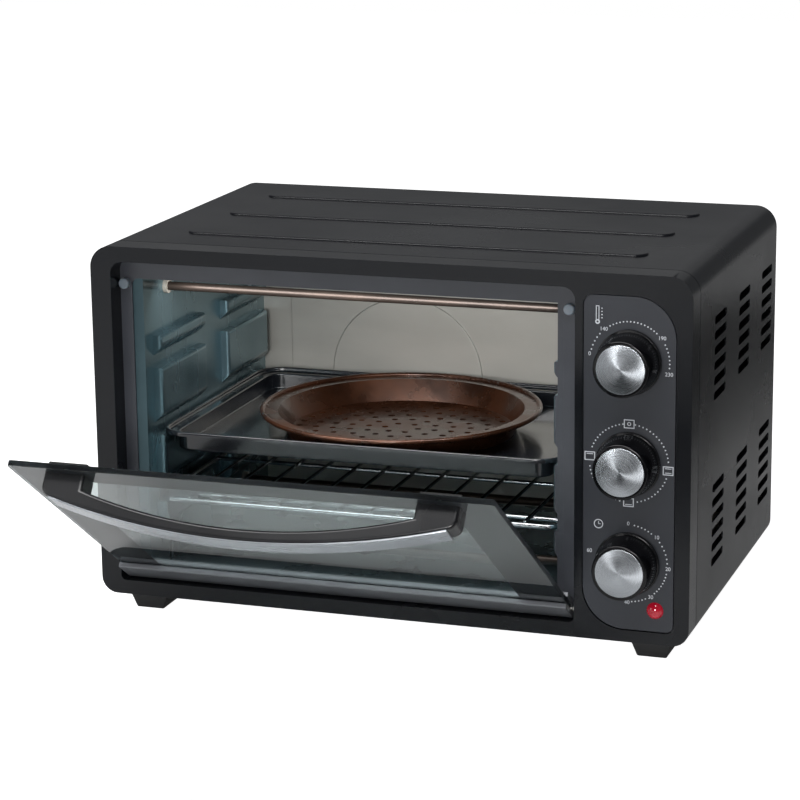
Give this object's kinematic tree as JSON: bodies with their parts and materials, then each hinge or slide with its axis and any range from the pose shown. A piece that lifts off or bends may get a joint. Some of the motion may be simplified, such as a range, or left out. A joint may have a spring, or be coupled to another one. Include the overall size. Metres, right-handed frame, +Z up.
{
  "type": "toaster oven",
  "caption": "Countertop toaster oven with a drop-down glass door, bowed handle, wire rack, baking tray, round crisper pan and dials for heat, mode and time.",
  "frame": {"origin": "on the floor under the feet, at the centre of the box around the oven with its door part-open as stored", "axes": "+Z up, +Y towards the back of the oven, +X to its right as a person facing the door sees it"},
  "size_m": [0.44, 0.4804, 0.2758],
  "materials": {
    "cover_paint": "satin black powder coat",
    "fascia": "near-black satin moulding",
    "frame_paint": "dark grey enamel",
    "panel": "dark grey, printed dials",
    "galvanised": "zinc-coated sheet",
    "liner": "aluminised steel",
    "heater": "oxidised steel tube",
    "ceramic": "glazed steatite",
    "fan_metal": "plain sheet",
    "motor": "laminated core",
    "switch_body": "moulded housing",
    "steel": "bright zinc",
    "knob": "satin black",
    "disc": "spun, concentric grain",
    "lens": "clear red",
    "rubber": "matt",
    "bumper": "grey silicone",
    "glass": "tempered, dark printed border",
    "rail": "satin dark grey",
    "handle": "satin black",
    "trim": "satin silver",
    "rack": "bright plated wire",
    "tray": "black enamel",
    "pan": "bronze non-stick coating",
    "lamp": "neon lamp"
  },
  "bodies": {
    "oven": {"outer_cover": "cover_paint", "rear_panel": "galvanised", "base_pan": "galvanised", "front_fascia": "fascia", "front_frame": "frame_paint", "control_panel": "panel", "cavity_left_wall": "liner", "cavity_right_wall": "liner", "cavity_ceiling": "liner", "cavity_floor": "liner", "cavity_back": "liner", "upper_front_heater": "heater", "upper_rear_heater": "heater", "lower_front_heater": "heater", "lower_rear_heater": "heater", "heater_insulators": "ceramic", "fan_housing": "fan_metal", "fan_motor": "motor", "thermostat": "switch_body", "function_switch": "switch_body", "timer": "switch_body", "control_screws": "steel", "pilot_lens": "lens", "pilot_lamp": "lamp", "terminal_block": "switch_body", "cord_inlet": "rubber", "rear_screws": "steel", "feet": "rubber", "foot_screws": "steel", "hinge_brackets": "steel", "door_bumpers": "bumper"},
    "door": {"door_glass": "glass", "door_rail": "rail", "hinge_pins": "steel", "door_handle": "handle", "handle_trim": "trim", "handle_pads": "handle", "handle_screws": "steel"},
    "thermostat_dial": {"thermostat_knob": "knob", "thermostat_disc": "disc", "thermostat_shaft": "steel"},
    "function_dial": {"function_knob": "knob", "function_disc": "disc", "function_shaft": "steel"},
    "timer_dial": {"timer_knob": "knob", "timer_disc": "disc", "timer_shaft": "steel"},
    "fan": {"fan_impeller": "fan_metal", "fan_shaft": "steel"},
    "rack": {"wire_rack": "rack"},
    "tray": {"baking_tray": "tray"},
    "pan": {"crisper_pan": "pan"}
  },
  "joints": [
    {"name": "door_hinge", "type": "hinge", "parent": "oven", "child": "door", "pos_m": [-0.033, -0.03647, 0.0325], "axis": [1, 0, 0], "range_deg": [-55.5, 29.5]},
    {"name": "thermostat_turn", "type": "hinge", "parent": "oven", "child": "thermostat_dial", "pos_m": [0.17675, -0.04647, 0.2145], "axis": [0, 1, 0], "range_deg": [0, 270]},
    {"name": "function_turn", "type": "hinge", "parent": "oven", "child": "function_dial", "pos_m": [0.17675, -0.04647, 0.1435], "axis": [0, 1, 0], "range_deg": [0, 270]},
    {"name": "timer_turn", "type": "hinge", "parent": "oven", "child": "timer_dial", "pos_m": [0.17675, -0.04647, 0.0725], "axis": [0, 1, 0], "range_deg": [0, 300]},
    {"name": "fan_spin", "type": "hinge", "parent": "oven", "child": "fan", "pos_m": [0.13, 0.09153, 0.1485], "axis": [1, 0, 0], "continuous": true},
    {"name": "rack_slide", "type": "slide", "parent": "oven", "child": "rack", "axis": [0, -1, 0], "range_m": [0, 0.08]},
    {"name": "tray_slide", "type": "slide", "parent": "oven", "child": "tray", "axis": [0, -1, 0], "range_m": [0, 0.1]},
    {"name": "pan_lift", "type": "slide", "parent": "tray", "child": "pan", "axis": [0, 0, 1], "range_m": [0, 0.06]}
  ]
}
